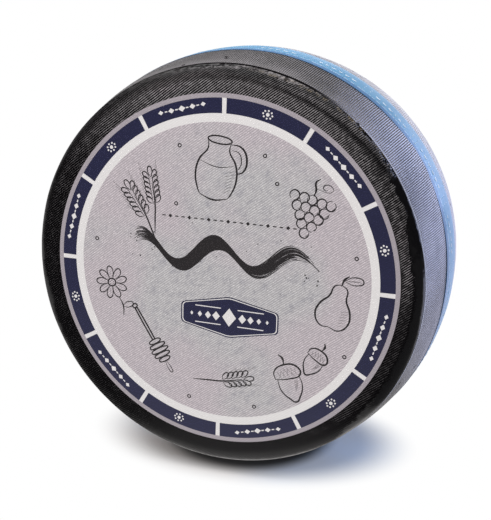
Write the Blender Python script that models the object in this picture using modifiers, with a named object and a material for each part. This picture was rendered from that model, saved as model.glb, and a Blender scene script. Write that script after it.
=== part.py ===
# Round cheese wheel standing on its rim, face towards -Y, in metres.
# A drum of cheese in a black coat, with a printed disc on its face and a printed band round its rim.
# Both prints lie in shallow recesses of the coat, the band level with the rim.

import math

import bmesh
import bpy

# Driving dimensions, as real sizes in metres
WHEEL_RADIUS = 0.135          # middle of the bulged rim
WHEEL_THICKNESS = 0.133       # from the face label's front to the back of the coat
EDGE_RADIUS = 0.127           # where the rim meets the rounded shoulder
FACE_RADIUS = 0.117           # flat part of each face
SHOULDER_DEPTH = 0.0085       # how far the shoulder reaches back from the face
LABEL_RADIUS = 0.111          # printed disc
LABEL_THICKNESS = 0.0006
LABEL_PROUD = 0.0002          # how far the disc stands out of the coat
LABEL_SHIFT_X = 0.0022        # the disc is stuck on slightly off the wheel's axis
LABEL_SHIFT_Z = 0.0009
BAND_WIDTH = 0.028            # printed band round the rim
BAND_SHIFT = 0.0058           # how far its middle lies from the rim's middle, towards the face
BAND_THICKNESS = 0.0006
SEAM_WIDTH = 0.0008           # groove in the coat where each shoulder meets the rim
SEAM_DEPTH = 0.0006
GAP = 0.0003                  # clearance between touching pieces
FLAT_DEPTH = 0.0007           # how far the rim is pressed flat where it rests

# Values that follow from them
HALF_THICKNESS = WHEEL_THICKNESS / 2
AXIS_HEIGHT = WHEEL_RADIUS - FLAT_DEPTH
COAT_FRONT = HALF_THICKNESS - LABEL_PROUD
SHOULDER_END = HALF_THICKNESS - SHOULDER_DEPTH
SEAM_END = SHOULDER_END - SEAM_WIDTH
RECESS_DEPTH = LABEL_THICKNESS + GAP - LABEL_PROUD
CHANNEL_DEPTH = BAND_THICKNESS + GAP
BAND_FRONT = BAND_SHIFT + BAND_WIDTH / 2
BAND_BACK = BAND_SHIFT - BAND_WIDTH / 2

# Facets
TURN_STEPS = 96
SHOULDER_STEPS = 4
RIM_STEPS = 12
BAND_STEPS = 4
MERGE_DISTANCE = 0.00001
SHARP_ANGLE = math.radians(30)


def clear_scene():
    for old in list(bpy.data.objects):
        bpy.data.objects.remove(old, do_unlink=True)


def new_collection(name):
    made = bpy.data.collections.new(name)
    bpy.context.scene.collection.children.link(made)
    return made


def move_to(collection, made):
    for owner in list(made.users_collection):
        owner.objects.unlink(made)
    collection.objects.link(made)


def make_material(name, colour, roughness, metallic=0.0):
    made = bpy.data.materials.new(name)
    made.use_nodes = True
    shader = made.node_tree.nodes["Principled BSDF"]
    shader.inputs["Base Color"].default_value = (*colour, 1.0)
    shader.inputs["Roughness"].default_value = roughness
    shader.inputs["Metallic"].default_value = metallic
    return made


def rim_radius(along):
    # The rim bulges as a shallow arc between the two shoulders
    share = along / SHOULDER_END
    return WHEEL_RADIUS - (WHEEL_RADIUS - EDGE_RADIUS) * share * share


def shoulder_points(face, side):
    # A quarter ellipse from the flat face round to the rim; side is 1 at the front, -1 behind
    points = []
    for step in range(SHOULDER_STEPS + 1):
        turn = math.pi / 2 * step / SHOULDER_STEPS
        radius = FACE_RADIUS + (EDGE_RADIUS - FACE_RADIUS) * math.sin(turn)
        along = SHOULDER_END + (face - SHOULDER_END) * math.cos(turn)
        points.append((radius, side * along))
    return points


def seam_points(side):
    # A V groove just inside the end of a shoulder
    middle = SHOULDER_END - SEAM_WIDTH / 2
    return [(rim_radius(middle) - SEAM_DEPTH, side * middle)]


def rim_points(inset, front, back, steps):
    # The bulged rim, lowered by inset, from one place along the axis to another
    points = []
    for step in range(steps + 1):
        along = front + (back - front) * step / steps
        points.append((rim_radius(along) - inset, along))
    return points


def turn_profile(name, points, collection, material=None):
    # Points are (radius, height) down the outer side; the finished turning lies along Y
    mesh = bpy.data.meshes.new(name)
    outline = bmesh.new()
    corners = [outline.verts.new((radius, 0, height)) for radius, height in points]
    for start, end in zip(corners, corners[1:]):
        outline.edges.new((start, end))
    outline.to_mesh(mesh)
    outline.free()
    made = bpy.data.objects.new(name, mesh)
    collection.objects.link(made)
    if material:
        mesh.materials.append(material)
    screw = made.modifiers.new("Turn", "SCREW")
    screw.steps = TURN_STEPS
    screw.render_steps = TURN_STEPS
    screw.use_merge_vertices = True
    screw.merge_threshold = MERGE_DISTANCE
    screw.use_smooth_shade = True
    made.rotation_euler = (math.pi / 2, 0, 0)
    made.location = (0, 0, AXIS_HEIGHT)
    return made


def make_disc(name, radius, thickness, middle, collection):
    # A disc on the label's centre, square to the wheel's axis, its middle at Y = middle
    bpy.ops.mesh.primitive_cylinder_add(
        vertices=TURN_STEPS,
        radius=radius,
        depth=thickness,
        location=(LABEL_SHIFT_X, middle, AXIS_HEIGHT + LABEL_SHIFT_Z),
        rotation=(math.pi / 2, 0, 0),
    )
    made = bpy.context.object
    made.name = name
    made.data.shade_smooth()
    made.data.set_sharp_from_angle(angle=SHARP_ANGLE)
    move_to(collection, made)
    return made


def make_floor_cutter(name, top, collection):
    # A block whose top is the level down to which the wheel is pressed flat
    side = WHEEL_RADIUS
    bpy.ops.mesh.primitive_cube_add(size=side, location=(0, 0, top - side / 2))
    made = bpy.context.object
    made.name = name
    move_to(collection, made)
    return made


def cut(target, cutter, name):
    boolean = target.modifiers.new(name, "BOOLEAN")
    boolean.operation = "DIFFERENCE"
    boolean.solver = "EXACT"
    boolean.object = cutter
    cutter.hide_render = True
    cutter.display_type = "WIRE"


def make_pressed_core(name, inset, collection):
    # The inside of the rim below a skin as thick as inset, pressed flat as the skin over it is
    core_points = rim_points(inset, BAND_FRONT + GAP, BAND_BACK - GAP, BAND_STEPS)
    front = core_points[0][1] + GAP
    back = core_points[-1][1] - GAP
    points = [
        (0, front),
        (core_points[0][0], front),
        *core_points,
        (core_points[-1][0], back),
        (0, back),
    ]
    core = turn_profile(name, points, collection)
    cut(core, make_floor_cutter(name + "_flat", inset, collection), "Flat spot")
    return core


def make_band_channel(collection):
    # A ring that clears the rim outside and goes down to the channel's floor inside
    bpy.ops.mesh.primitive_cylinder_add(
        vertices=TURN_STEPS,
        radius=WHEEL_RADIUS + BAND_WIDTH,
        depth=BAND_WIDTH + 2 * GAP,
        location=(0, -BAND_SHIFT, AXIS_HEIGHT),
        rotation=(math.pi / 2, 0, 0),
    )
    channel = bpy.context.object
    channel.name = "band_channel"
    move_to(collection, channel)
    cut(channel, make_pressed_core("channel_core", CHANNEL_DEPTH, collection), "Core")
    return channel


def make_wheel(collection, cutters):
    # Cheese and coat are one solid, pressed flat where it rests
    points = [
        (0, COAT_FRONT),
        *shoulder_points(COAT_FRONT, 1),
        *seam_points(1),
        *rim_points(0, SEAM_END, -SEAM_END, RIM_STEPS),
        *seam_points(-1),
        *reversed(shoulder_points(HALF_THICKNESS, -1)),
        (0, -HALF_THICKNESS),
    ]
    material = make_material("black_coat", (0.012, 0.011, 0.012), 0.28)
    wheel = turn_profile("coated_wheel", points, collection, material)
    cut(wheel, make_floor_cutter("wheel_flat", 0, cutters), "Flat spot")
    recess = make_disc("label_recess", LABEL_RADIUS + GAP, RECESS_DEPTH * 2, -COAT_FRONT, cutters)
    cut(wheel, recess, "Label recess")
    cut(wheel, make_band_channel(cutters), "Band channel")


def make_face_label(collection):
    middle = -HALF_THICKNESS + LABEL_THICKNESS / 2
    label = make_disc("face_label", LABEL_RADIUS, LABEL_THICKNESS, middle, collection)
    label.data.materials.append(make_material("label_print", (0.48, 0.42, 0.46), 0.45))


def make_side_label(collection, cutters):
    # The band is the skin of a slice of the rim, pressed flat with it
    outer = rim_points(0, BAND_FRONT, BAND_BACK, BAND_STEPS)
    points = [(0, BAND_FRONT), *outer, (0, BAND_BACK)]
    material = make_material("band_print", (0.17, 0.42, 0.68), 0.40)
    band = turn_profile("side_label", points, collection, material)
    cut(band, make_floor_cutter("band_flat", 0, cutters), "Flat spot")
    cut(band, make_pressed_core("band_core", BAND_THICKNESS, cutters), "Hollow")


def main():
    clear_scene()
    parts = new_collection("cheese_wheel")
    cutters = new_collection("cutters")
    make_wheel(parts, cutters)
    make_face_label(parts)
    make_side_label(parts, cutters)
    bpy.context.view_layer.update()


main()
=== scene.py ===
import math
import random

import bmesh
import bpy
from mathutils import Matrix, Vector, noise


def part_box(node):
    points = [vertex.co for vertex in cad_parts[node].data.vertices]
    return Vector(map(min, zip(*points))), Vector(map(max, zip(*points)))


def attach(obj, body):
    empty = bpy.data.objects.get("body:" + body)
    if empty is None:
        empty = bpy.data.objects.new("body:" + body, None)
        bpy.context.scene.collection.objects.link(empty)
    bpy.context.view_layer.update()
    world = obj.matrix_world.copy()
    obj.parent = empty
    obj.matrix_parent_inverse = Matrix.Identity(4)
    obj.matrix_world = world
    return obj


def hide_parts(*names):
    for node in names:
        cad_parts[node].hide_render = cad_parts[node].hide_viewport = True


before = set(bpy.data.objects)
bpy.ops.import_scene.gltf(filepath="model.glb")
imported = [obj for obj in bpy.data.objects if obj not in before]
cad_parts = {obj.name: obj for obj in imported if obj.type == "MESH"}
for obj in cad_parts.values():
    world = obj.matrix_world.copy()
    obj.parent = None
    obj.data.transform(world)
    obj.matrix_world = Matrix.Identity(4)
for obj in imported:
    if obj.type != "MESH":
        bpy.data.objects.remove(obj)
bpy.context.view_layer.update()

mm = 0.001
fullTurn = 2 * math.pi

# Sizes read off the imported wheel. "along" runs down its axis from the middle towards the label.
labelLow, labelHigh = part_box("face_label")
bandLow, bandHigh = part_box("side_label")
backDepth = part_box("coated_wheel")[1].y  # how far the back face lies behind the middle
rimRadius = (bandHigh.x - bandLow.x) / 2
axisHeight = bandHigh.z - rimRadius
faceAlong = -labelLow.y
labelRadius = (labelHigh.x - labelLow.x) / 2
labelCentre = Vector(((labelLow.x + labelHigh.x) / 2, labelLow.y, (labelLow.z + labelHigh.z) / 2))
bandFront = -bandLow.y
bandBack = -bandHigh.y

wheel = dict(
    edgeRadius=127 * mm,  # where each shoulder meets the rim
    domeStart=115 * mm,  # the faces start to round off here
    domePower=2.7,
    domeReach=0.90,  # how much of that curve is used before the seam cuts it off
    shoulderDepth=8.5 * mm,
    coatBelowLabel=0.2 * mm,
    seatDepth=0.6 * mm,  # of the label's seat in the coat
    seatGap=0.05 * mm,  # round the label
    seatEase=119 * mm,  # the seat is off the wheel's axis, and the coat is back on it here
    backFlat=110 * mm,
    seamWidth=0.9 * mm,
    seamDepth=0.7 * mm,
    lipInset=0.25 * mm,  # the shoulder's lip turns in this much over this depth
    lipDepth=0.12 * mm,
    rimInset=0.3 * mm,  # and so does the rim's
    rimDepth=0.1 * mm,
    skin=0.2 * mm,  # how far the coat lies under the printed band
    lumps=[(42, 0.25 * mm), (130, 0.10 * mm)],  # of the skin: noise scale and height
    leastLump=0.04 * mm,
    lumpEase=8 * mm,  # they grow from nothing over this width
    flatSkin=1.0 * mm,  # where the rim is pressed flat, what lies under its skin stays this far up
    seamReach=14 * mm,  # width over which the rim follows the wandering seam
    turnSteps=540,
    frontRows=44,
    backRows=40,
    rimRows=60,
    # how the cloth's edges wander: degrees round the wheel, width in degrees, reach in mm
    seamWander=[(90, 34, -3.9), (15, 24, 1.9), (205, 40, -1.6), (285, 30, 1.2)],
    backWander=[(60, 40, 1.8), (150, 30, -1.4), (250, 45, 1.6), (340, 30, -1.2)],
    bandWander=[
        (0, 14, 2.2), (31, 13, -2.6), (60, 12, 1.3), (150, 25, 1.2), (205, 20, -1.5), (265, 22, 1.4),
    ],
    farWander=[(20, 20, -1.0), (80, 25, 0.9), (170, 30, -1.2), (240, 20, 1.0), (310, 22, -0.9)],
)
seamAlong = faceAlong - wheel["shoulderDepth"]


# Shader maths written as expressions: a Reading is a socket, and each operator adds its Math node
class Reading:
    def __init__(self, page, socket):
        self.page = page
        self.socket = socket

    def math(self, operation, *others):
        return self.page.node("Math", dict(operation=operation), dict(enumerate((self, *others))))

    def __add__(self, other):
        return self.math("ADD", other)

    __radd__ = __add__

    def __sub__(self, other):
        return self.math("SUBTRACT", other)

    def __rsub__(self, other):
        return self.page.node("Math", dict(operation="SUBTRACT"), {0: other, 1: self})

    def __mul__(self, other):
        return self.math("MULTIPLY", other)

    __rmul__ = __mul__

    def __pow__(self, other):
        return self.math("POWER", other)

    def __neg__(self):
        return self.math("MULTIPLY", -1.0)

    def size(self):
        return self.math("ABSOLUTE")

    def step(self, low, high):
        # 0 below low, 1 above high, smooth between; low above high turns it round
        if low > high:
            return 1 - self.step(high, low)
        settings = dict(interpolation_type="SMOOTHSTEP")
        return self.page.node("MapRange", settings, {"Value": self, "From Min": low, "From Max": high})


class Page:
    # one node tree, and the one way in which its nodes are made
    def __init__(self, tree):
        self.tree = tree

    def node(self, kind, settings=None, sockets=None, out=0):
        made = self.tree.nodes.new("ShaderNode" + kind)
        for key, value in (settings or {}).items():
            setattr(made, key, value)
        for key, value in (sockets or {}).items():
            if isinstance(value, Reading):
                self.tree.links.new(value.socket, made.inputs[key])
            else:
                made.inputs[key].default_value = value
        return Reading(self, made.outputs[out])

    def place(self):
        return self.node("TexCoord", out=3)

    def parts(self, vector):
        split = self.node("SeparateXYZ", None, {0: vector}).socket.node
        return [Reading(self, output) for output in split.outputs]

    def vector(self, x, y, z):
        return self.node("CombineXYZ", None, {0: x, 1: y, 2: z})

    def noise(self, vector, scale, detail=2.0, roughness=0.5):
        sockets = {"Vector": vector, "Scale": scale, "Detail": detail, "Roughness": roughness}
        return self.node("TexNoise", None, sockets)

    def mix(self, factor, first, second):
        return self.node("Mix", dict(data_type="RGBA"), {0: factor, 6: first, 7: second}, out=2)

    def attribute(self, name):
        return self.node("Attribute", dict(attribute_name=name), out=2)


def newFinish(name, **fixed):
    # a material with its Principled shader; the values that are the same all over go straight on it
    material = bpy.data.materials.new(name)
    material.use_nodes = True
    page = Page(material.node_tree)
    shader = material.node_tree.nodes["Principled BSDF"]
    for key, value in fixed.items():
        shader.inputs[key.replace("_", " ")].default_value = value
    return material, page, shader


def dullAndShade(page, shader, places):
    # where places is 1 the coat has no shine and turns flat near-black: painted shade in the valleys
    # between its cords and in its grooves, and a matte coat elsewhere
    dullShade = page.node("BsdfDiffuse", None, {"Color": coatLook["dullShade"]})
    both = page.node("MixShader", None, {0: places, 1: Reading(page, shader.outputs[0]), 2: dullShade})
    page.tree.links.new(both.socket, page.tree.nodes["Material Output"].inputs["Surface"])


def feed(page, shader, **readings):
    for key, reading in readings.items():
        page.tree.links.new(reading.socket, shader.inputs[key.replace("_", " ")])


def screen(red, green, blue):
    # a colour as the screen shows it, 0 to 255, turned into linear light
    linear = []
    for part in (red, green, blue):
        share = part / 255
        linear.append(share / 12.92 if share <= 0.04045 else ((share + 0.055) / 1.055) ** 2.4)
    return (*linear, 1.0)


def grey(value):
    return (value, value, value, 1.0)


print("maths and helpers ready")

coatLook = dict(
    black=(0.0044, 0.0040, 0.0046, 1.0),
    # near-black of the places without shine: painted shade in valleys and grooves, and a matte coat
    # elsewhere
    dullShade=(0.0038, 0.0033, 0.0038, 1.0),
    # colour of the painted glints by the seam
    glintColour=screen(128, 114, 88),
    dust=grey(0.62),
    pitch=1.26 * mm,  # of the cloth's cords under the coat
    lean=36.0,  # degrees that the cords on the faces rise to the right
    wobble=0.9 * mm,  # how far a cord strays
    cordHeight=0.44 * mm,
    cordFadeFrom=119.0 * mm,  # where the cords sink into the thicker coat of the shoulder
    cordFadeTo=122.0 * mm,
    topFade=5.2 * mm,  # they reach this much further out along the top
    bottomFade=4.2 * mm,  # and along the bottom
    ragged=8.0 * mm,  # how far that line strays
    # zones round the wheel: the middle, and how far from it a zone ends and is full, in radians
    top=(math.radians(82), 1.2, 0.6),
    low=(math.radians(-92), 1.1, 0.6),
    glintZone=(1.00, 0.50, 0.25),
    lipZone=(1.60, 0.95, 0.60),
    # zones across it: where each begins and is full
    leftSide=(1.75, 2.25),  # radians from the right
    leftEdge=(116 * mm, 125 * mm),
    rightSide=(60 * mm, 110 * mm),
    lowerRight=(108 * mm, 132 * mm),
    bottom=(70 * mm, 120 * mm),
    glintSeam=(2.2 * mm, 0.8 * mm),
    # the coat's shine: how much of each cord keeps it, and what takes it away
    flank=(0.58, 0.84),
    threadGaps=0.42,
    threadGapsRight=0.28,
    # painted shade: how much shine the cords lose at the lower right
    lowerRightShade=0.80,
    bottomShine=0.65,
    leftEdgeDull=0.7,
    lipDull=0.22,
    lipCrumbs=0.70,
)


def wheelReadings(page):
    # the place, its x and its height over the axis, the distance from it, the angle round it and
    # the place along it
    place = page.place()
    x, y, z = page.parts(place)
    up = z - axisHeight
    radius = (x * x + up * up) ** 0.5
    turn = up.math("ARCTAN2", x)
    return place, x, up, radius, turn, -y


def cordWave(phase):
    # rounded cords with narrow valleys, 0 to 1
    return (phase.math("SINE") * 0.5 + 0.5) ** 0.75


def zone(turn, middle, ends, full):
    # a stretch of the wheel's round: 1 about its middle, 0 past its ends
    return (turn - middle).size().step(ends, full)


def clothRun(page, place, x, up):
    # how far a place is across the face's cords and along them
    lean = math.radians(coatLook["lean"])
    wobble = page.noise(place, 55.0, 1.0) * coatLook["wobble"]
    across = up * math.cos(lean) - x * math.sin(lean) + wobble
    run = x * math.cos(lean) + up * math.sin(lean)
    return across, run


def faceCords(across):
    return cordWave(across * (fullTurn / coatLook["pitch"]))


def faceCoatFinish(name, dustAndGlints):
    look = coatLook
    material, page, shader = newFinish(name, IOR=1.5)
    place, x, up, radius, turn, along = wheelReadings(page)
    across, run = clothRun(page, place, x, up)
    cords = faceCords(across)

    # the cords sink away towards the shoulder along a ragged line
    ragged = page.noise(place, 190.0, 3.0, 0.65) - 0.5
    broad = page.noise(place, 42.0, 1.0) - 0.5
    edge = radius + (ragged + broad * 0.7) * look["ragged"]
    edge = edge - zone(turn, *look["top"]) * look["topFade"]
    edge = edge - zone(turn, *look["low"]) * look["bottomFade"]
    cordy = edge.step(look["cordFadeTo"], look["cordFadeFrom"])

    # each cord is a row of short threads, and they stand out less at the left and the bottom
    threads = page.noise(page.vector(across * 430.0, run * 300.0, 0.0), 1.0, 1.0)
    strong = 0.55 + ((x + up) * 6.0).step(-0.2, 0.5) * 0.45 + x.step(0.02, 0.09) * 0.35
    height = cords * (0.86 + threads * 0.28) * strong * cordy
    height = height + page.noise(place, 130.0, 2.0) * (1 - cordy) * 0.9
    bump = page.node("Bump", None, {"Distance": look["cordHeight"], "Height": height})

    # dust caught along the cords on the left, where the coat is duller
    leftSide = turn.size().step(*look["leftSide"])
    dashes = page.noise(page.vector(across * 900.0, run * 240.0, 0.0), 1.0, 2.0).step(0.58, 0.72)
    patches = page.noise(place, 60.0, 3.0, 0.65).step(0.46, 0.66)
    flecks = page.node("TexVoronoi", None, {"Vector": place, "Scale": 700.0}).step(0.16, 0.08)
    flecks = flecks * page.noise(place, 230.0, 1.0).step(0.54, 0.62)
    dust = (dashes * patches * 0.10 + flecks * 0.30 + patches * 0.012) * leftSide * dustAndGlints

    # painted glints by the seam at the upper right, in a pale brownish colour
    seamGlints = (along - seamAlong).size().step(*look["glintSeam"]) * zone(turn, *look["glintZone"])
    seamGlints = seamGlints * page.noise(place, 260.0, 3.0, 0.6).step(0.46, 0.60) * dustAndGlints

    colour = page.mix(dust, look["black"], look["dust"])
    colour = page.mix(seamGlints * 0.6, colour, look["glintColour"])
    rough = 0.07 + page.noise(place, 120.0, 2.0) * 0.06 + cordy * 0.07 + leftSide * 0.12 + dust * 0.3
    feed(page, shader, Base_Color=colour, Roughness=rough, Normal=bump)

    # only the upper flank of each cord, a quarter pitch over its crest, keeps its shine, in dashes
    # that thin out towards the lower right; the rest turns flat near-black, painted shade in the valleys
    # between the cords and on the lower right. At the bottom the valleys shine too
    rightSide = x.step(*look["rightSide"])
    lowerRight = (x - up * 0.7).step(*look["lowerRight"])
    flanks = (faceCords(across - look["pitch"] / 4) - rightSide * 0.06).step(*look["flank"])
    threadGaps = look["threadGaps"] + rightSide * look["threadGapsRight"]
    flanks = flanks * (1 - threads.step(0.62, 0.38) * threadGaps)
    flanks = flanks * (1 - lowerRight * look["lowerRightShade"])
    bottom = (-up).step(*look["bottom"]) * (1 - leftSide)
    valleyShade = (1 - flanks) * cordy * (1 - bottom * look["bottomShine"])
    # painted shade in the seam's groove: the coat there loses its shine and turns near-black
    seamGrooveShade = page.attribute("across").size().step(seamAlong + 0.7 * mm, seamAlong + 0.2 * mm)
    leftEdge = leftSide * radius.step(*look["leftEdge"]) * look["leftEdgeDull"]
    crumbs = page.noise(place, 380.0, 3.0, 0.7).step(0.42, 0.58)
    lip = zone(turn, *look["lipZone"]) * (1 - cordy) * (look["lipDull"] + crumbs * look["lipCrumbs"])
    dullAndShade(page, shader, 1 - (1 - valleyShade) * (1 - seamGrooveShade) * (1 - leftEdge) * (1 - lip))
    return material


rimLook = dict(
    dark=(0.040, 0.037, 0.039, 1.0),
    pale=(0.088, 0.082, 0.088, 1.0),
    far=(0.105, 0.100, 0.112, 1.0),
    farFade=4 * mm,  # the colour behind the band begins over this width
    # colour of the painted highlight on the rim's near edge at the right
    edge=(0.42, 0.44, 0.55, 1.0),
    cords=610,  # round the rim
    lean=55.0,  # radians of their phase per metre along the rim
    wobble=1.6,  # radians
    cordHeight=0.20 * mm,
    pitDepth=2.5,  # beside the cords' height
    shadow=2.2 * mm,  # painted shadow: a dark strip in the groove where the rim begins
    highlightFrom=1.5 * mm,  # painted highlight on the edge beside it
    highlightTo=0.7 * mm,
    rightSide=(50 * mm, 95 * mm),
    filledFrom=4 * mm,  # the cords are filled with coat up to here from the seam
    filledTo=20 * mm,  # and stand free from here
)


def rimPhase(turn, along):
    # of the cords round the rim, which show through the band too
    return turn * float(rimLook["cords"]) + along * rimLook["lean"]


def rimCoatFinish():
    look = rimLook
    material, page, shader = newFinish("rimCoat", IOR=1.5)
    place, x, *_, turn, along = wheelReadings(page)
    across = page.attribute("across").size()
    cords = cordWave(rimPhase(turn, along) + page.noise(place, 40.0, 1.0) * look["wobble"])
    threads = page.noise(page.vector(turn * 95.0, along * 1400.0, 0.0), 1.0, 1.0)
    pits = page.node("TexVoronoi", None, {"Vector": place, "Scale": 95.0}).step(0.16, 0.08)
    pits = pits * page.noise(place, 60.0, 0.0).step(0.60, 0.66)
    height = cords * (0.6 + threads * 0.8) - pits * look["pitDepth"]
    bump = page.node("Bump", None, {"Distance": look["cordHeight"], "Height": height})
    tint = page.noise(place, 55.0, 4.0, 0.6).step(0.30, 0.70)
    colour = page.mix(tint, look["dark"], look["pale"])
    colour = page.mix(along.step(bandBack, bandBack - look["farFade"]), colour, look["far"])

    # a painted shadow in the groove where the rim begins, which turns into a painted highlight on its edge
    # on the right
    start = seamAlong - wheel["seamWidth"]
    rightSide = x.step(*look["rightSide"])
    grooveShade = across.step(start - look["shadow"], start - look["shadow"] * 0.6) * (1 - rightSide)
    edgeHighlight = across.step(start - look["highlightFrom"], start - look["highlightTo"]) * rightSide
    colour = page.mix(edgeHighlight, colour, look["edge"])
    rough = 0.24 + page.noise(place, 90.0, 2.0) * 0.14
    feed(page, shader, Base_Color=colour, Roughness=rough, Normal=bump)

    # the cords are filled with coat by the seam and behind the band; elsewhere their valleys and pits turn
    # dark and shineless, painted shade in these hollows
    unfilled = 0.30 + across.step(seamAlong - look["filledFrom"], seamAlong - look["filledTo"]) * 0.60
    unfilled = unfilled * (0.36 + along.step(bandBack, bandFront) * 0.64) * (1 - rightSide * 0.35)
    valleyShade = cords.step(0.70, 0.25) * unfilled * (0.5 + threads)
    dullAndShade(page, shader, 1 - (1 - valleyShade.math("MINIMUM", 1.0)) * (1 - grooveShade) * (1 - pits))
    return material


# Turned shapes: a profile of (radius, along) points spun round the wheel's axis
def turned(profile, steps):
    bm = bmesh.new()
    corners = [bm.verts.new((radius, -along, 0)) for radius, along in profile]
    edges = [bm.edges.new(pair) for pair in zip(corners, corners[1:])]
    bmesh.ops.spin(
        bm, geom=corners + edges, cent=(0, 0, 0), axis=(0, 1, 0), dvec=(0, 0, 0),
        angle=fullTurn, steps=steps, use_merge=True, use_duplicate=False,
    )
    bmesh.ops.remove_doubles(bm, verts=bm.verts, dist=0.001 * mm)
    bmesh.ops.recalc_face_normals(bm, faces=bm.faces)
    return bm


def finished(bm, name, materials, nodes, sharp=40):
    mesh = bpy.data.meshes.new(name)
    bm.to_mesh(mesh)
    bm.free()
    for material in materials:
        mesh.materials.append(material)
    mesh.shade_smooth()
    mesh.set_sharp_from_angle(angle=math.radians(sharp))
    piece = bpy.data.objects.new(name, mesh)
    bpy.context.scene.collection.objects.link(piece)
    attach(piece, "root")
    if nodes:
        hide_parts(*nodes)
    print("made", name, len(mesh.polygons), "faces")


def rimAt(along):
    # the rim bulges as a shallow arc between its two seams
    share = along / seamAlong
    return rimRadius - (rimRadius - wheel["edgeRadius"]) * share * share


def wander(turn, humps):
    shift = 0.0
    for place, width, reach in humps:
        off = (math.degrees(turn) - place + 180) % 360 - 180
        shift += reach * mm * math.exp(-((off / width) ** 2))
    return shift


def domeHeight(share):
    return math.sqrt(1 - share ** wheel["domePower"])


def easeIn(value, low, high):
    share = min(1.0, max(0.0, (value - low) / (high - low)))
    return share * share * (3 - 2 * share)


def seamPull(along):
    # how much a place follows the wandering seam: fully at the seam, not at all far from it or on the face
    if along > seamAlong:
        return 1 - easeIn(along, seamAlong, faceAlong - 2 * wheel["coatBelowLabel"])
    return easeIn(along, seamAlong - wheel["seamReach"], seamAlong)


def settle(bm):
    # hand work: seams wander, the skin is a little lumpy, and the weight presses the rim flat
    across = bm.verts.layers.float.new("across")
    start = wheel["domeStart"]
    for vert in bm.verts:
        along = -vert.co.y
        vert[across] = along
        radius = math.hypot(vert.co.x, vert.co.z)
        if radius < 1 * mm:
            continue
        turn = math.atan2(vert.co.z, vert.co.x)
        side = 1 if along > 0 else -1
        along = abs(along)
        seamShift = wander(turn, wheel["seamWander"] if side > 0 else wheel["backWander"])
        shift = seamShift * seamPull(along)
        if radius > start:
            if along < seamAlong:
                grown = rimAt(along + shift) - rimAt(along)
                below = max(0.0, rimAt(along) - radius)
            else:
                grown = rimAt(seamAlong + seamShift) - rimAt(seamAlong)
                grown *= (radius - start) / (wheel["edgeRadius"] - start)
                below = 0.0
            lump = wheel["leastLump"]
            for scale, high in wheel["lumps"]:
                lump += (0.5 + 0.5 * noise.noise(vert.co * scale)) * high
            radius += grown - lump * easeIn(radius, start, start + wheel["lumpEase"])
            vert.co.x = radius * math.cos(turn)
            floor = -axisHeight + min(below, wheel["flatSkin"])
            vert.co.z = max(radius * math.sin(turn), floor)
        vert.co.y = -side * (along + shift)
    bmesh.ops.translate(bm, verts=bm.verts, vec=(0, 0, axisHeight))


def shoulderProfile(face, rows):
    # from the flat of the face round to the seam
    start, edge, reach = wheel["domeStart"], wheel["edgeRadius"], wheel["domeReach"]
    points = []
    for row in range(rows + 1):
        share = math.sin(math.pi / 2 * row / rows)
        drop = (1 - domeHeight(share * reach)) / (1 - domeHeight(reach))
        points.append((start + (edge - start) * share, face - (face - seamAlong) * drop))
    return points


def seamGroove():
    # from the groove's bottom between shoulder and rim in to the axis
    middle = seamAlong - wheel["seamWidth"] / 2
    return [(wheel["edgeRadius"] - wheel["seamDepth"], middle), (0, middle)]


def shoulderLip():
    return [(wheel["edgeRadius"] - wheel["lipInset"], seamAlong - wheel["lipDepth"])]


def makeFrontCoat():
    face = faceAlong - wheel["coatBelowLabel"]
    seat = labelRadius + wheel["seatGap"]
    seatFloor = face - wheel["seatDepth"]
    points = [(0, seatFloor), (seat, seatFloor), (seat, face), ((seat + wheel["domeStart"]) / 2, face)]
    points += shoulderProfile(face, wheel["frontRows"]) + shoulderLip() + seamGroove()
    bm = turned(points, wheel["turnSteps"])
    offset = Vector((labelCentre.x, 0, labelCentre.z - axisHeight))
    for vert in bm.verts:
        # the label's seat lies off the wheel's axis, so the inner rings move over to it
        radius = math.hypot(vert.co.x, vert.co.z)
        if -vert.co.y > seamAlong:
            vert.co += offset * (1 - easeIn(radius, seat, wheel["seatEase"]))
    settle(bm)
    finished(bm, "frontCoat", [faceCoatFinish("frontCoat", 1.0)], ["coated_wheel"])


def makeBackCoat():
    points = [(wheel["backFlat"] * step / 6, backDepth) for step in range(7)]
    points += shoulderProfile(backDepth, wheel["backRows"]) + shoulderLip() + seamGroove()
    bm = turned([(radius, -along) for radius, along in points], wheel["turnSteps"])
    settle(bm)
    finished(bm, "backCoat", [faceCoatFinish("backCoat", 0.0)], ["coated_wheel"])


def makeRimCoat():
    start = seamAlong - wheel["seamWidth"]
    near = seamGroove()[::-1] + [(rimAt(start) - wheel["rimInset"], start + wheel["rimDepth"])]
    points = list(near)
    rows = wheel["rimRows"]
    for row in range(rows + 1):
        along = start * (1 - 2 * row / rows)
        points.append((rimAt(along) - wheel["skin"], along))
    points += [(radius, -along) for radius, along in reversed(near)]
    bm = turned(points, wheel["turnSteps"])
    settle(bm)
    finished(bm, "rimCoat", [rimCoatFinish()], ["coated_wheel"])


makeFrontCoat()
makeRimCoat()
makeBackCoat()


band = dict(
    rows=34,
    thickness=0.6 * mm,
    sky=(0.058, 0.215, 0.375, 1.0),
    pale=(0.088, 0.255, 0.420, 1.0),
    deep=(0.052, 0.150, 0.300, 1.0),
    line=(0.50, 0.60, 0.72, 1.0),
    deepWidth=5.6 * mm,  # the darker strip along the band's near edge
    nearLine=6.3 * mm,  # thin pale lines, the near one broken
    farLine=26.6 * mm,
    cordHeight=0.006 * mm,  # of the cords that show through the print
)


def overCords(page, turn, along):
    cords = cordWave(rimPhase(turn, along))
    return page.node("Bump", None, {"Distance": band["cordHeight"], "Height": cords})


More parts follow.
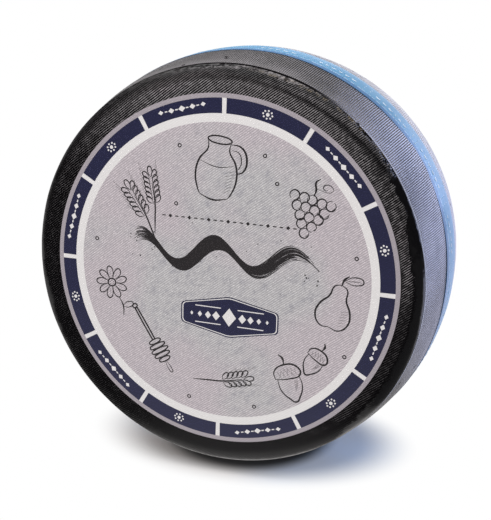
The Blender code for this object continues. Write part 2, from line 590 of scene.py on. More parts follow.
def bandFinish():
    material, page, shader = newFinish("bandPrint", Roughness=0.32, IOR=1.30, Specular_IOR_Level=0.14)
    place, *_, turn, along = wheelReadings(page)
    fromNear = bandFront - page.attribute("across")
    wobble = page.noise(place, 120.0, 2.0) * (0.8 * mm)
    deep = (fromNear + wobble).step(band["deepWidth"] + 0.3 * mm, band["deepWidth"] - 0.2 * mm)
    breaks = page.noise(page.vector(turn * 9.0, 0.0, 0.0), 6.0, 2.0).step(0.46, 0.52)
    nearLine = (fromNear - band["nearLine"]).size().step(0.50 * mm, 0.25 * mm) * breaks
    farLine = (fromNear - band["farLine"]).size().step(0.45 * mm, 0.25 * mm)
    half = (bandFront - bandBack) / 2
    edges = (fromNear - half).size().step(half - 0.8 * mm, half - 0.1 * mm)
    colour = page.mix(page.noise(place, 60.0, 3.0).step(0.3, 0.7), band["sky"], band["pale"])
    colour = page.mix(deep, colour, band["deep"])
    colour = page.mix(nearLine * 0.8, colour, band["line"])
    colour = page.mix(farLine * 0.6, colour, band["line"])
    colour = page.mix(edges * 0.4, colour, coatLook["black"])
    feed(page, shader, Base_Color=colour, Normal=overCords(page, turn, along))
    return material


def makeSideBand():
    rows = band["rows"]
    places = [bandFront + (bandBack - bandFront) * row / rows for row in range(rows + 1)]
    outer = [(rimAt(along), along) for along in places]
    inner = [(radius - band["thickness"], along) for radius, along in outer]
    bm = turned(outer + inner[::-1] + outer[:1], wheel["turnSteps"])
    settle(bm)
    middle = (bandFront + bandBack) / 2
    for vert in bm.verts:
        # the band's two edges wander, each in its own way
        along = -vert.co.y
        turn = math.atan2(vert.co.z - axisHeight, vert.co.x)
        near = easeIn(along, middle, bandFront) * wander(turn, wheel["bandWander"])
        far = easeIn(-along, -middle, -bandBack) * wander(turn, wheel["farWander"])
        vert.co.y -= near + far
    finished(bm, "sideBand", [bandFinish()], ["side_label"])


makeSideBand()


label = dict(
    thickness=0.6 * mm,
    centreShare=0.846,
    navyFrom=0.8926,
    navyTo=0.9747,
    edgeFrom=0.997,  # the paper's edge drops a little from here
    edgeDrop=0.06 * mm,
    turnSteps=384,
    turn=-1.6,  # degrees that the print is turned on the wheel
    segments=12,
    barWidth=2.7 * mm,
    step=0.03 * mm,  # each layer of print stands this much over the one below
    below=0.12 * mm,  # how far the paper lies below the highest print
    paper=screen(232, 229, 228),
    navy=(0.020, 0.021, 0.066, 1.0),
    ink=(0.026, 0.022, 0.024, 1.0),
    penWeight=1.35,
    mauve=screen(219, 209, 213),
    mist=screen(216, 214, 214),
    rim=screen(172, 164, 170),
    blot=screen(126, 128, 146),
    shadow=screen(96, 90, 98),
)


def printFinish(name, colour, second=None, weave=0.16, roughness=0.42):
    # print on paper under the coat, through which the cloth's cords show as rows of short dashes
    material, page, shader = newFinish(name, IOR=1.45)
    place = page.place()
    x, _, z = page.parts(place)
    across, run = clothRun(page, place, x, z - axisHeight)
    cords = faceCords(across)
    dashes = page.noise(page.vector(across * 900.0, run * 450.0, 0.0), 1.0, 1.0).step(0.25, 0.75)
    shade = colour
    if second:
        # a mottled ground: soft clouds that gather in the middle, and fibrous blots a few millimetres long
        right = x - labelCentre.x
        up = z - labelCentre.z
        away = (right * right + up * up) ** 0.5 * (1 / labelRadius)
        clouds = (page.noise(place, 17.0, 2.0, 0.5) + (0.50 - away) * 0.35).step(0.36, 0.64)
        shade = page.mix(clouds, colour, second)
        blots = page.noise(page.vector(across * 210.0, run * 150.0, 0.0), 1.0, 5.0, 0.75).step(0.44, 0.72)
        shade = page.mix(blots * (0.12 + clouds * 0.32), shade, label["blot"])
    # the gaps between the cords are darkened, towards the shadow colour on the ground and towards black
    # elsewhere: painted shade in the cloth's imprint
    gaps = 1 - cords * (0.45 + dashes * 0.55)
    shade = page.mix(gaps * weave, shade, label["shadow"] if second else grey(0.0))
    bump = page.node("Bump", None, {"Distance": 0.035 * mm, "Height": cords})
    rough = roughness + dashes * 0.10
    feed(page, shader, Base_Color=shade, Roughness=rough, Normal=bump)
    return material


def onLabel(bm, level):
    # from label coordinates, x right, z up, y 0 at the highest print, to its place on the wheel
    bmesh.ops.rotate(
        bm, verts=bm.verts, cent=(0, 0, 0), matrix=Matrix.Rotation(math.radians(-label["turn"]), 3, "Y")
    )
    bmesh.ops.translate(bm, verts=bm.verts, vec=labelCentre + Vector((0, level, 0)))


def printed(bm, name, finish, layers, sharp=30):
    # a print on the label, this many layers over the paper
    onLabel(bm, label["below"] - layers * label["step"])
    finished(bm, name, [finish], [], sharp)


def makeLabelPaper():
    shares = [0, 0.3, 0.6, label["centreShare"], label["navyFrom"], label["navyTo"], label["edgeFrom"]]
    under = -label["thickness"]
    points = [(labelRadius * share, 0) for share in shares]
    points += [(labelRadius, -label["edgeDrop"]), (labelRadius, under), (0, under)]
    bm = turned(points, label["turnSteps"])
    for face in bm.faces:
        middle = face.calc_center_median()
        share = math.hypot(middle.x, middle.z) / labelRadius
        face.material_index = 0 if share < label["centreShare"] else 1 if share < label["navyTo"] else 2
    onLabel(bm, label["below"])
    finishes = [
        printFinish("labelCentre", label["mauve"], label["mist"], weave=0.56),
        printFinish("labelWhite", label["paper"], weave=0.08),
        printFinish("labelRim", label["rim"]),
    ]
    finished(bm, "labelPaper", finishes, ["face_label"], sharp=30)


navyFinish = printFinish("navyPrint", label["navy"], roughness=0.36)
whiteFinish = printFinish("whitePrint", label["paper"], weave=0.08)
inkFinish = printFinish("inkPrint", label["ink"], roughness=0.40)
printDepth = 0.1 * mm  # a print's layer reaches this far down into the paper


def makeNavySegments():
    bm = bmesh.new()
    low = labelRadius * label["navyFrom"]
    high = labelRadius * label["navyTo"]
    share = fullTurn / label["segments"]
    gap = label["barWidth"] / ((low + high) / 2)
    for segment in range(label["segments"]):
        start = share * segment + gap / 2
        outline = ((low, 0), (high, 0), (high, printDepth), (low, printDepth))
        corners = [bm.verts.new((radius, y, 0)) for radius, y in outline]
        face = bm.faces.new(corners)
        turn = Matrix.Rotation(-start, 3, "Y")
        bmesh.ops.rotate(bm, verts=corners, cent=(0, 0, 0), matrix=turn)
        bmesh.ops.spin(
            bm, geom=[face], cent=(0, 0, 0), axis=(0, 1, 0), dvec=(0, 0, 0),
            angle=-(share - gap), steps=24, use_merge=False, use_duplicate=False,
        )
    bmesh.ops.recalc_face_normals(bm, faces=bm.faces)
    printed(bm, "navySegments", navyFinish, 1)


def prism(bm, sides, width, height, x, z, turn=0.0):
    # a flat printed dot, lozenge or hexagon; width and height are the full sizes
    place = Matrix.Translation((x, printDepth / 2, z)) @ Matrix.Rotation(-turn, 4, "Y")
    place = place @ Matrix.Diagonal((width / 2, 1, height / 2, 1)) @ Matrix.Rotation(math.pi / 2, 4, "X")
    bmesh.ops.create_cone(
        bm, cap_ends=True, segments=sides, radius1=1, radius2=1, depth=printDepth, matrix=place
    )


def bar(bm, width, height, x, z, turn=0.0):
    place = Matrix.Translation((x, printDepth / 2, z)) @ Matrix.Rotation(-turn, 4, "Y")
    place = place @ Matrix.Diagonal((width, printDepth, height, 1))
    bmesh.ops.create_cube(bm, size=1, matrix=place)


# sizes in mm; places run along a segment from its middle
ornament = dict(
    lozenges=(-14, -7, 0, 7, 14),
    bars=(-10.5, -3.5, 3.5, 10.5),
    lozengeWide=4.6,
    thinning=0.09,  # a lozenge is this much narrower for each mm from the middle
    barWide=1.7,
    barHigh=0.7,
    heart=2.2,  # the rosette's middle dot
    petals=8,
    petal=1.15,
    petalRing=(2.9, 2.3),  # along the segment and across it
)


def makeSegmentOrnaments():
    bm = bmesh.new()
    middle = labelRadius * (label["navyFrom"] + label["navyTo"]) / 2
    for segment in range(label["segments"]):
        angle = fullTurn * (segment + 0.5) / label["segments"]
        lean = angle + math.pi / 2
        outward = Vector((math.cos(angle), 0, math.sin(angle)))
        sideways = Vector((-math.sin(angle), 0, math.cos(angle)))

        def stamp(shape, wide, high, across=0.0, out=0.0, turn=0.0):
            at = outward * (middle + out * mm) + sideways * (across * mm)
            if shape == "bar":
                bar(bm, wide * mm, high * mm, at.x, at.z, turn)
            else:
                prism(bm, shape, wide * mm, high * mm, at.x, at.z, turn)

        if segment % 2:
            # a chain of lozenges and short bars
            for place in ornament["lozenges"]:
                wide = ornament["lozengeWide"] - abs(place) * ornament["thinning"]
                stamp(4, wide, wide * 0.8, place, turn=lean)
            for place in ornament["bars"]:
                stamp("bar", ornament["barWide"], ornament["barHigh"], place, turn=lean)
        else:
            # a rosette of dots round a larger one
            stamp(20, ornament["heart"], ornament["heart"])
            along, across = ornament["petalRing"]
            for petal in range(ornament["petals"]):
                way = fullTurn * petal / ornament["petals"]
                size = ornament["petal"]
                stamp(12, size, size, along * math.cos(way), across * math.sin(way))
    printed(bm, "segmentOrnaments", whiteFinish, 2)


makeLabelPaper()
makeNavySegments()
makeSegmentOrnaments()


# Ink drawing: each stroke is a curve with a thickness at each point, pressed flat once it is a mesh
class Pen:
    def __init__(self, name):
        self.curve = bpy.data.curves.new(name, "CURVE")
        self.curve.dimensions = "3D"
        self.curve.bevel_depth = 0.5 * mm
        self.curve.bevel_resolution = 0
        self.curve.resolution_u = 5
        self.curve.use_fill_caps = True
        self.name = name
        self.home = (0.0, 0.0, 0.0, 1.0)

    def at(self, x, z, turn=0.0, size=1.0):
        self.home = (x, z, math.radians(turn), size)
        return self

    def stroke(self, points, width=0.7, closed=False, taper=True):
        # points in mm in the motif's own frame; width in mm at its thickest
        x, z, turn, size = self.home
        spline = self.curve.splines.new("BEZIER")
        spline.bezier_points.add(len(points) - 1)
        for index, (u, v) in enumerate(points):
            point = spline.bezier_points[index]
            across = x + size * (u * math.cos(turn) - v * math.sin(turn))
            up = z + size * (u * math.sin(turn) + v * math.cos(turn))
            point.co = (across * mm, 0, up * mm)
            point.handle_left_type = point.handle_right_type = "AUTO"
            share = index / max(1, len(points) - 1)
            swell = 0.35 + 0.65 * math.sin(math.pi * share) if taper and not closed else 1.0
            point.radius = width * label["penWeight"] * swell
        spline.use_cyclic_u = closed

    def arc(self, x, z, wide, high, start=0, end=360, width=0.7, points=9):
        whole = abs(end - start) >= 360
        gaps = points if whole else points - 1
        steps = [start + (end - start) * step / gaps for step in range(points)]
        ring = [(x + wide * math.cos(math.radians(a)), z + high * math.sin(math.radians(a))) for a in steps]
        self.stroke(ring, width, closed=whole)

    def piece(self, layers):
        drawn = bpy.data.objects.new(self.name, self.curve)
        bpy.context.scene.collection.objects.link(drawn)
        bpy.context.view_layer.update()
        seen = drawn.evaluated_get(bpy.context.evaluated_depsgraph_get())
        mesh = bpy.data.meshes.new_from_object(seen)
        bpy.data.objects.remove(drawn)
        bm = bmesh.new()
        bm.from_mesh(mesh)
        bpy.data.meshes.remove(mesh)
        bmesh.ops.remove_doubles(bm, verts=bm.verts, dist=0.0005 * mm)
        bmesh.ops.scale(bm, verts=bm.verts, vec=(1, 0.07, 1))
        bmesh.ops.recalc_face_normals(bm, faces=bm.faces)
        printed(bm, self.name, inkFinish, layers, sharp=60)


def drawWheat(pen, grains=6):
    pen.stroke([(-6, -24), (-3, -12), (0, 0), (1.5, 18)], 0.8)
    for grain in range(grains):
        v = 1 + grain * 4.2
        for side in (-1, 1):
            u = side * 1.2 + v * 0.06
            tip = (u + side * 4.4, v + 6.5)
            pen.stroke([(u, v), (u + side * 3.8, v + 1.8), tip, (u + side * 0.9, v + 4.4), (u, v)], 0.6)
            pen.stroke([tip, (tip[0] + side * 2.6, tip[1] + 8)], 0.35)
    top = 1 + grains * 4.2
    pen.stroke([(1.5, top - 3), (4, top + 2), (2.2, top + 6), (0, top + 2), (1.5, top - 3)], 0.6)


def drawGrapes(pen, rng):
    rows = [(5, 0), (4, -5.6), (3, -11.2), (2, -16.8), (1, -22.0)]
    for count, v in rows:
        for index in range(count):
            u = (index - (count - 1) / 2) * 6.2 + rng.uniform(-0.5, 0.5)
            start = rng.uniform(0, 360)
            pen.arc(u, v + rng.uniform(-0.4, 0.4), 3.2, 3.3, start, start + 330, 0.65, 9)
            pen.arc(u + 0.5, v - 0.4, 2.1, 2.1, 290, 360, 0.35, 4)
    pen.stroke([(0, 3), (0.5, 7), (-0.8, 12), (1.5, 15)], 1.0)
    curl = [(0, 8)]
    for step in range(8):
        way, reach = 0.8 * step, 7 - 0.8 * step
        curl.append((7 + reach * 0.62 * math.cos(way), 10 + reach * 0.5 * math.sin(way)))
    pen.stroke(curl, 0.45)


def drawDaisy(pen):
    pen.arc(0, 0, 3.2, 3.0, 0, 360, 0.7, 8)
    for dot in range(5):
        c, s = math.cos(fullTurn * dot / 5), math.sin(fullTurn * dot / 5)
        pen.stroke([(1.4 * c, 1.3 * s), (1.8 * c, 1.7 * s)], 0.6, taper=False)
    shape = [(3.6, -0.8), (7.5, -2.5), (12, -1.6), (13, 0.4), (11.6, 2.0), (7, 2.2), (3.6, 0.9)]
    for petal in range(9):
        way = fullTurn * petal / 9
        c, s = math.cos(way), math.sin(way)
        pen.stroke([(a * c - b * s, a * s + b * c) for a, b in shape], 0.6)
        pen.stroke([(5 * c, 5 * s), (9.5 * c, 9.5 * s)], 0.3)
    pen.stroke([(2, -13), (3, -20), (0.5, -28)], 0.8)
    pen.stroke([(2.8, -20), (8, -18), (12, -20), (8, -22.5), (2.8, -21)], 0.55)


def drawJug(pen):
    body = [(-7, 16), (-6.5, 11), (-11, 4), (-12.5, -5), (-10, -14), (-8.5, -16.5)]
    pen.stroke(body, 0.9)
    pen.stroke([(-u, v) for u, v in body], 0.9)
    pen.arc(0, 16.5, 7.2, 2.2, 0, 360, 0.7, 10)
    pen.stroke([(-8.5, -16.5), (0, -18.6), (8.5, -16.5)], 0.9)
    pen.stroke([(7.2, 15), (13, 14.5), (17, 9), (16, 1), (11.8, -1.5)], 1.0)
    pen.stroke([(8, 11.8), (11.8, 11.2), (14, 7.5), (13.4, 2.6), (11.8, 1)], 0.5)
    pen.stroke([(-10.5, 3), (0, 0.8), (10.5, 3)], 0.45)
    for line in range(7):
        v = -2 - line * 1.9
        pen.stroke([(5.5 + line * 0.1, v), (11.6 - line * 0.35, v + 2.4)], 0.35)


def drawPear(pen):
    pen.stroke([(0, 14), (-4, 12), (-5.5, 5), (-10, -2), (-11, -10), (-6, -16), (0, -15.5)], 0.9)
    pen.stroke([(0, 14), (4.2, 12), (5.6, 5), (10, -2), (11, -10), (6, -16), (0, -15.5)], 0.9)
    pen.stroke([(0, 13), (0.6, 18), (3, 21)], 1.1)
    pen.stroke([(1, 17), (6, 21.5), (12.5, 20.5), (8.5, 16.8), (1.6, 16.6)], 0.6)
    pen.stroke([(1.6, 17), (7, 19), (11, 19.8)], 0.35)
    for line in range(6):
        pen.stroke([(4.5, -3 - line * 2), (9.8 - line * 0.5, -1.2 - line * 2.1)], 0.35)


def drawAcorn(pen):
    pen.stroke([(-7.5, 2), (-7.6, -6), (-3.6, -13), (0, -16), (3.6, -13), (7.6, -6), (7.5, 2)], 0.8)
    pen.stroke([(-9, 2), (-8, 7.5), (0, 10.5), (8, 7.5), (9, 2), (0, 0.4), (-9, 2)], 0.9)
    pen.stroke([(0, 10.5), (0.6, 15), (-1.4, 18)], 1.1)
    for line in range(5):
        u = -6 + line * 3
        pen.stroke([(u, 2), (u * 0.8 + 1.6, 8.2 - abs(u) * 0.25)], 0.35)
        pen.stroke([(u + 1.5, 1.8), (u * 0.8 - 1.2, 8.2 - abs(u) * 0.25)], 0.35)
    for line in range(4):
        pen.stroke([(3.5 + line * 0.8, -1.5), (2.2 + line * 0.7, -9 + line)], 0.35)


def drawDipper(pen):
    for ring in range(5):
        wide = (4.6, 6.2, 6.8, 6.2, 4.4)[ring]
        pen.arc(0, -ring * 3.4, wide, 1.5, 0, 360, 0.65, 9)
    for side in (-1, 1):
        pen.stroke([(side * 0.9, 1.4), (side, 14), (side * 0.8, 27)], 0.8, taper=False)
    pen.arc(0, 27.6, 1.7, 1.4, 0, 360, 0.7, 7)
    pen.stroke([(0.4, -15.4), (1.2, -20), (0.2, -24), (-1.0, -21), (-0.4, -15.6)], 0.5)


def makeInkDrawings():
    rng = random.Random(5)
    pen = Pen("inkDrawings")
    drawJug(pen.at(-4, 66, -6, 1.05))
    drawWheat(pen.at(-50, 32, 38, 0.80))
    drawWheat(pen.at(-44, 40, 14, 0.74))
    drawGrapes(pen.at(56, 52, -12, 0.92), rng)
    drawDaisy(pen.at(-74, -14, 20, 0.82))
    drawPear(pen.at(73, -10, -14, 0.95))
    drawDipper(pen.at(-44, -50, 32, 0.95))
    drawAcorn(pen.at(46, -62, 22, 0.95))
    drawAcorn(pen.at(62, -47, -30, 0.72))
    drawWheat(pen.at(2, -70, -72, 0.78), 5)
    dots = [(-28, 78), (26, 76), (34, 60), (-30, 42), (-84, 14), (-20, -84), (84, 20), (24, -84), (80, -42)]
    for u, v in dots:
        pen.at(u, v).arc(0, 0, 1.0, 1.0, width=0.5, points=6)
    pen.piece(0.3)


# sizes in mm
swash = dict(
    at=(2, 12),  # right of the label's centre and above it
    bristles=30,
    points=26,
    length=124,
    width=10.5,
    waves=2.5,
    waveHigh=9.0,
    drops=34,
    dropsFrom=-66,
    dropsTo=68,
    dropSpread=11,
)


def makeBrushSwash():
    # a dry brush pulled across the label in waves, whose bristles run out of ink here and there
    rng = random.Random(11)
    pen = Pen("brushSwash")
    pen.at(*swash["at"])
    count = swash["points"]
    for bristle in range(swash["bristles"]):
        lane = bristle / (swash["bristles"] - 1) - 0.5
        begin = rng.uniform(0, 0.05) + abs(lane) * 0.06
        end = 1 - rng.uniform(0, 0.10) - abs(lane) * 0.12
        run = []
        for step in range(count + 1):
            share = begin + (end - begin) * step / count
            phase = share * fullTurn * swash["waves"]
            wave = swash["waveHigh"] * math.sin(phase + 0.6) * (1 - 0.25 * share)
            press = 0.75 + 0.35 * math.sin(phase + 2.0)
            up = wave + lane * swash["width"] * press + rng.uniform(-0.15, 0.15)
            run.append((swash["length"] * (share - 0.5), up))
        width = rng.uniform(0.45, 0.85) if abs(lane) < 0.42 else rng.uniform(0.25, 0.5)
        cutAt = rng.randint(14, count + 12)
        pen.stroke(run[:cutAt], width)
        if cutAt + 2 < count and rng.random() < 0.7:
            pen.stroke(run[cutAt + 1:], width * 0.8)
    for drop in range(swash["drops"]):
        u = rng.uniform(swash["dropsFrom"], swash["dropsTo"])
        v = rng.gauss(0, swash["dropSpread"])
        size = rng.uniform(0.25, 0.8)
        pen.stroke([(u, v), (u + size, v + rng.uniform(-0.3, 0.3))], size, taper=False)
    pen.piece(0.5)


ruled = dict(
    x=4 * mm,
    z=34 * mm,
    pitch=4.2 * mm,
    reach=10,  # marks on each side of the middle one
    lozenge=2.6 * mm,  # every third mark
    dash=2.2 * mm,
    dashHigh=0.7 * mm,
)


def makeRuledLine():
    # a row of small lozenges and dashes over the swash
    bm = bmesh.new()
    for index in range(-ruled["reach"], ruled["reach"] + 1):
        x = ruled["x"] + index * ruled["pitch"]
        if index % 3 == 0:
            prism(bm, 4, ruled["lozenge"], ruled["lozenge"], x, ruled["z"])
        else:
            bar(bm, ruled["dash"], ruled["dashHigh"], x, ruled["z"])
    printed(bm, "ruledLine", inkFinish, 1)


# full widths and heights; the line lies on the edge, and the field on the line
plaque = dict(
    x=6 * mm,
    z=-27 * mm,
    edge=(74 * mm, 27 * mm),
    line=(72 * mm, 25.4 * mm),
    field=(70.6 * mm, 24.2 * mm),
    cornerRound=2.2 * mm,
    lozenge=(9 * mm, 12 * mm),
    bar=(17 * mm, 0.6 * mm),
    barOut=14 * mm,
    barUp=5.4 * mm,
    small=4,  # lozenges on each side, each smaller than the last
    smallFrom=8.6 * mm,
    smallStep=5.4 * mm,
)


def hexagonPlate(name, size, finish, layers):
    bm = bmesh.new()
    prism(bm, 6, *size, plaque["x"], plaque["z"])
    upright = [edge for edge in bm.edges if abs(edge.verts[0].co.y - edge.verts[1].co.y) > printDepth / 2]
    bmesh.ops.bevel(
        bm, geom=upright, offset=plaque["cornerRound"], segments=5, profile=0.5, affect="EDGES", material=-1
    )
    printed(bm, name, finish, layers)


def makePlaque():
    x, z = plaque["x"], plaque["z"]
    hexagonPlate("plaqueEdge", plaque["edge"], navyFinish, 0.7)
    hexagonPlate("plaqueLine", plaque["line"], whiteFinish, 1.4)
    hexagonPlate("plaqueField", plaque["field"], navyFinish, 2.1)
    bm = bmesh.new()
    prism(bm, 4, *plaque["lozenge"], x, z)
    for side in (-1, 1):
        for index in range(plaque["small"]):
            out = plaque["smallFrom"] + index * plaque["smallStep"]
            prism(bm, 4, (5 - index) * mm, (6 - index * 1.1) * mm, x + side * out, z)
        for line in (-1, 1):
            bar(bm, *plaque["bar"], x + side * plaque["barOut"], z + line * plaque["barUp"])
    printed(bm, "plaqueOrnament", whiteFinish, 2.8)


makeInkDrawings()
makeBrushSwash()
makeRuledLine()
makePlaque()


# Marks on the band: dashes, lozenges and rows of ticks
marks = dict(
    groups=20,
    lift=0.03 * mm,  # over the band
    depth=0.25 * mm,
    fromNear=13.4 * mm,
    high=4.4 * mm,
    gap=1.6 * mm,
    widths=(2.0, 4.4),  # mm, least and most
    sides=(4, 6, 14),
    runFrom=0.08,  # radians from a group's first tick to its first mark
    runStop=0.05,  # and from its last mark to the next group, at least
    ticks=3,
    tickWide=0.9 * mm,
    tickHigh=1.8 * mm,
    tickFrom=9.0 * mm,
    tickStep=4.6 * mm,
    tickPair=0.035,  # radians between two rows of ticks
    white=(0.52, 0.61, 0.68, 1.0),
    seamGlints=0.5,  # how far the band shows through the thin places
)


def bandMark(bm, sides, wide, high, turn, along):
    # wide runs round the rim, high along it
    slope = math.atan(2 * (rimRadius - wheel["edgeRadius"]) * along / seamAlong ** 2)
    place = Matrix.Rotation(-turn, 4, "Y")
    place = place @ Matrix.Translation((rimAt(along) + marks["lift"] - marks["depth"] / 2, -along, 0))
    place = place @ Matrix.Rotation(slope, 4, "Z") @ Matrix.Diagonal((1, high / 2, wide / 2, 1))
    place = place @ Matrix.Rotation(math.pi / 2, 4, "Y")
    bmesh.ops.create_cone(
        bm, cap_ends=True, segments=sides, radius1=1, radius2=1, depth=marks["depth"], matrix=place
    )


def markFinish():
    # white print that is worn thin in places, over the same cords as the band
    material, page, shader = newFinish("bandWhite", IOR=1.30, Specular_IOR_Level=0.14)
    place, *_, turn, along = wheelReadings(page)
    thin = page.noise(place, 330.0, 3.0, 0.7).step(0.48, 0.68)
    colour = page.mix(thin * marks["seamGlints"], marks["white"], band["pale"])
    bump = overCords(page, turn, along)
    feed(page, shader, Base_Color=colour, Roughness=0.36 + thin * 0.2, Normal=bump)
    return material


def makeBandMarks():
    bm = bmesh.new()
    rng = random.Random(3)
    share = fullTurn / marks["groups"]
    for group in range(marks["groups"]):
        base = share * group
        for tick in range(marks["ticks"]):
            along = bandFront - marks["tickFrom"] - tick * marks["tickStep"]
            for turn in (base, base + marks["tickPair"]):
                bandMark(bm, 4, marks["tickWide"], marks["tickHigh"], turn, along)
        place = marks["runFrom"]
        while place < share - marks["runStop"]:
            wide = rng.uniform(*marks["widths"]) * mm
            sides = rng.choice(marks["sides"])
            turn = base + place + wide / rimRadius / 2
            bandMark(bm, sides, wide, marks["high"], turn, bandFront - marks["fromNear"])
            place += (wide + marks["gap"]) / rimRadius
    settle(bm)
    bmesh.ops.recalc_face_normals(bm, faces=bm.faces)
    finished(bm, "bandMarks", [markFinish()], [], sharp=30)


makeBandMarks()


# Stage: pale floor, soft lights and the camera
stage = dict(
    sensor=36.0,
    focal=69.49,
    azimuth=18.766,
    elevation=15.558,
    labelRight=-15.18 * mm,  # where the camera sees the label's centre: right, down and forward of itself
    labelDown=9.12 * mm,
    labelForward=616.6 * mm,
    floorHalf=3.0,
    shadowWide=0.088,  # half axes of the oval in which the wheel's shadow lies
    shadowDeep=0.060,
    shadowEdge=(1.36, 0.86),  # shares of that oval where it ends and is full
    contactWide=0.061,
    contactEdge=(1.05, 0.80),
    glowLift=0.16,  # how much painted glow lifts the shadow on the right
    # painted tints of the shadow: warm on the left, bluish light on the right, and a dark painted contact
    # shadow
    shadowLeft=(0.88, 0.84, 0.82, 1.0),
    shadowRight=(0.60, 0.74, 1.00, 1.0),
    shadowContact=grey(0.14),
    # what the coat reflects of the floor, and metres in front of the wheel where that fades
    mirrorLeft=(0.74, 0.72, 0.71, 1.0),
    mirrorRight=(1.55, 1.60, 2.15, 1.0),
    mirrorFront=grey(0.10),
    frontDark=(0.12, 0.40),
)


def makeFloor():
    bm = bmesh.new()
    bmesh.ops.create_grid(bm, x_segments=4, y_segments=4, size=stage["floorHalf"])
    mesh = bpy.data.meshes.new("floor")
    bm.to_mesh(mesh)
    bm.free()
    floor = bpy.data.objects.new("floor", mesh)
    bpy.context.scene.collection.objects.link(floor)
    material = bpy.data.materials.new("floor")
    material.use_nodes = True
    page = Page(material.node_tree)
    page.tree.nodes.clear()
    x, y, _ = page.parts(page.place())

    # the floor glows evenly white but for an oval under the wheel, where the lamps light it and its colour
    # is tinted: warm on the left and bluish on the right, painted light in the shadow, and dark grey where
    # the wheel stands, a painted contact shadow; on the right some glow is mixed back in, a painted lift of
    # the shadow
    deep = y * (1 / stage["shadowDeep"])
    wide = x * (1 / stage["shadowWide"])
    near = x * (1 / stage["contactWide"])
    contact = ((near * near + deep * deep) ** 0.5).step(*stage["contactEdge"])
    shaded = ((wide * wide + deep * deep) ** 0.5).step(*stage["shadowEdge"])
    shaded = shaded * (1 - x.step(0.0, 0.06) * (1 - contact) * stage["glowLift"])
    tint = page.mix(x.step(0.0, 0.05), stage["shadowLeft"], stage["shadowRight"])
    tint = page.mix(contact, tint, stage["shadowContact"])
    lit = page.node("BsdfDiffuse", None, {"Color": tint})
    glow = page.node("Emission", None, {"Color": grey(1.0), "Strength": 1.0})
    seen = page.node("MixShader", None, {0: shaded, 1: glow, 2: lit})

    # what the coat reflects of it: dark in front and far to the right, bluish by the window
    right = x.step(0.05, 0.22) * y.step(0.02, 0.15)
    reflected = page.mix(right, stage["mirrorLeft"], stage["mirrorRight"])
    dark = (-y).step(*stage["frontDark"]) + x.step(0.60, 0.95) + x.step(0.10, 0.14) * y.step(0.08, 0.0)
    reflected = page.mix(dark.math("MINIMUM", 1.0), reflected, stage["mirrorFront"])
    mirrored = page.node("Emission", None, {"Color": reflected, "Strength": 1.0})
    glossy = page.node("LightPath", out=3)
    shown = page.node("MixShader", None, {0: glossy, 1: seen, 2: mirrored})
    page.tree.links.new(shown.socket, page.tree.nodes.new("ShaderNodeOutputMaterial").inputs["Surface"])
    material.cycles.emission_sampling = "NONE"
    mesh.materials.append(material)


# these light the wheel; what its coat reflects is in the studio's walls below
lights = dict(
    overhead=dict(
        place=(-0.25, 0.10, 0.75), target=(-0.25, 0.10, 0), wide=1.20, high=0.90,
        radiance=2.2, colour=(1.0, 0.97, 0.965),
    ),
    window=dict(
        place=(0.95, 1.25, 0.40), target=(0, 0, axisHeight), wide=0.80, high=0.60,
        radiance=2.0, colour=(0.66, 0.78, 1.0),
    ),
    frontFill=dict(
        place=(-0.50, -1.60, 0.90), target=(0, 0, axisHeight), wide=1.60, high=1.00,
        radiance=1.75, colour=(1.0, 0.98, 0.97),
    ),
)


def softbox(name, place, target, wide, high, radiance, colour):
    lamp = bpy.data.lights.new(name, "AREA")
    lamp.shape = "RECTANGLE"
    lamp.size = wide
    lamp.size_y = high
    lamp.energy = radiance * math.pi * wide * high
    lamp.color = colour
    made = bpy.data.objects.new(name, lamp)
    made.location = place
    made.rotation_euler = (Vector(target) - Vector(place)).to_track_quat("-Z", "Y").to_euler()
    made.visible_camera = False
    made.visible_glossy = False
    bpy.context.scene.collection.objects.link(made)


def makeLights():
    for name, look in lights.items():
        softbox(name, **look)


# What the coat's gloss sees: a dark room with a pale wall behind the wheel
studio = dict(
    room=grey(0.025),
    wall=grey(1.0),
    ambientLeft=(0.43, 0.415, 0.41, 1.0),  # even light from all round, which the gloss doesn't see
    ambientRight=(0.34, 0.44, 0.66, 1.0),
)

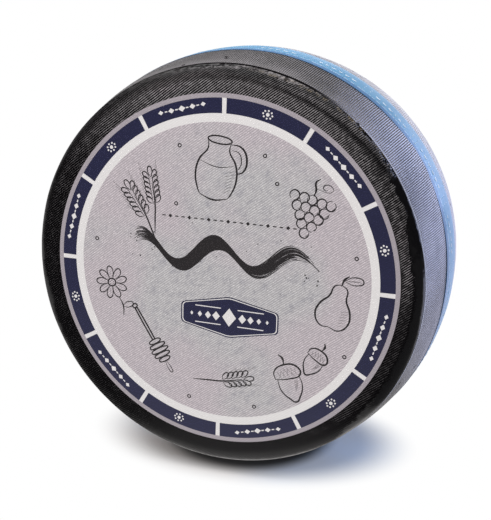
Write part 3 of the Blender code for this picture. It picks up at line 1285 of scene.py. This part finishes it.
# and the bright things in it: the colour of each and then its edges. An edge is a direction, as x, y
# and z, and where along it the thing begins and is full.
reflections = dict(
    window=[(4.4, 5.0, 7.8, 1.0), (0.55, 0.80, 0.05, 0.86, 0.94), (0, 0, 1, 0.44, 0.26)],
    wallMiddle=[(1.9, 1.9, 2.1, 1.0), (0, 1, 0, 0.935, 0.965), (0, 0, 1, 0.34, 0.20)],
    leftWall=[
        (1.9, 1.75, 1.75, 1.0),
        (-1, 0, 0, 0.45, 0.60), (0, 0, 1, 0.42, 0.52), (0, 1, 0, -0.42, -0.30),
    ],
    overheadLamp=[
        (4.6, 4.3, 4.4, 1.0),
        (-0.3, 1, 0, 0.45, 0.49), (0, 0, 1, 0.66, 0.73), (-1, 0, 0, 0.58, 0.45), (1, 0, 0, 0.50, 0.30),
    ],
    leftLamp=[
        (8.6, 8.0, 8.2, 1.0),
        (-1, 0, 0, 0.40, 0.50), (0, 0, 1, 0.40, 0.48), (0, 0, 1, 0.90, 0.84),
        (0, 1, 0, -0.56, -0.46), (0, 1, 0, 0.16, 0.06),
    ],
    topLamp=[
        (6.0, 5.6, 5.7, 1.0),
        (0, 0, 1, 0.86, 0.91), (-1, 0, 0, 0.48, 0.40), (1, 0, 0, 0.16, 0.08),
        (0, 1, 0, -0.46, -0.38), (0, 1, 0, 0.16, 0.06),
    ],
)


def makeWorld():
    world = bpy.data.worlds.new("studio")
    bpy.context.scene.world = world
    world.use_nodes = True
    page = Page(world.node_tree)
    background = world.node_tree.nodes["Background"]
    x, y, z = page.parts(page.node("TexCoord", out=0))

    # the wall brightens upwards and to the left
    wall = (y - x.step(0.25, 0.55) * 0.6).step(0.15, 0.55)
    wall = wall * (0.42 + (-x).step(0.30, 0.42) * 0.12 + z.step(0.28, 0.66) * 0.45)
    room = page.mix(wall, studio["room"], studio["wall"])
    for colour, *edges in reflections.values():
        patch = 1.0
        for right, back, above, begins, full in edges:
            patch = patch * (x * right + y * back + z * above).step(begins, full)
        room = page.mix(patch, room, colour)

    # everything else is lit evenly, a little warmer from the left and bluish from the right
    side = (x * 0.85 + y * 0.40).step(0.25, 0.75)
    ambient = page.mix(side, studio["ambientLeft"], studio["ambientRight"])
    camera = page.node("LightPath", out=0)
    glossy = page.node("LightPath", out=3)
    colour = page.mix(glossy, page.mix(camera, ambient, grey(1.0)), room)
    page.tree.links.new(colour.socket, background.inputs["Color"])
    world.cycles.sampling_method = "NONE"


def makeCamera():
    azimuth = math.radians(stage["azimuth"])
    elevation = math.radians(stage["elevation"])
    forward = Vector((
        -math.sin(azimuth) * math.cos(elevation),
        math.cos(azimuth) * math.cos(elevation),
        -math.sin(elevation),
    ))
    right = Vector((math.cos(azimuth), math.sin(azimuth), 0))
    down = forward.cross(right)
    lens = bpy.data.cameras.new("camera")
    lens.sensor_width = stage["sensor"]
    lens.lens = stage["focal"]
    lens.clip_start = 0.01
    camera = bpy.data.objects.new("camera", lens)
    offset = right * stage["labelRight"] + down * stage["labelDown"] + forward * stage["labelForward"]
    camera.location = labelCentre - offset
    camera.rotation_euler = forward.to_track_quat("-Z", "Y").to_euler()
    bpy.context.scene.collection.objects.link(camera)
    bpy.context.scene.camera = camera


makeFloor()
makeLights()
makeWorld()
makeCamera()
bpy.context.scene.view_settings.view_transform = "Standard"
print("stage ready")
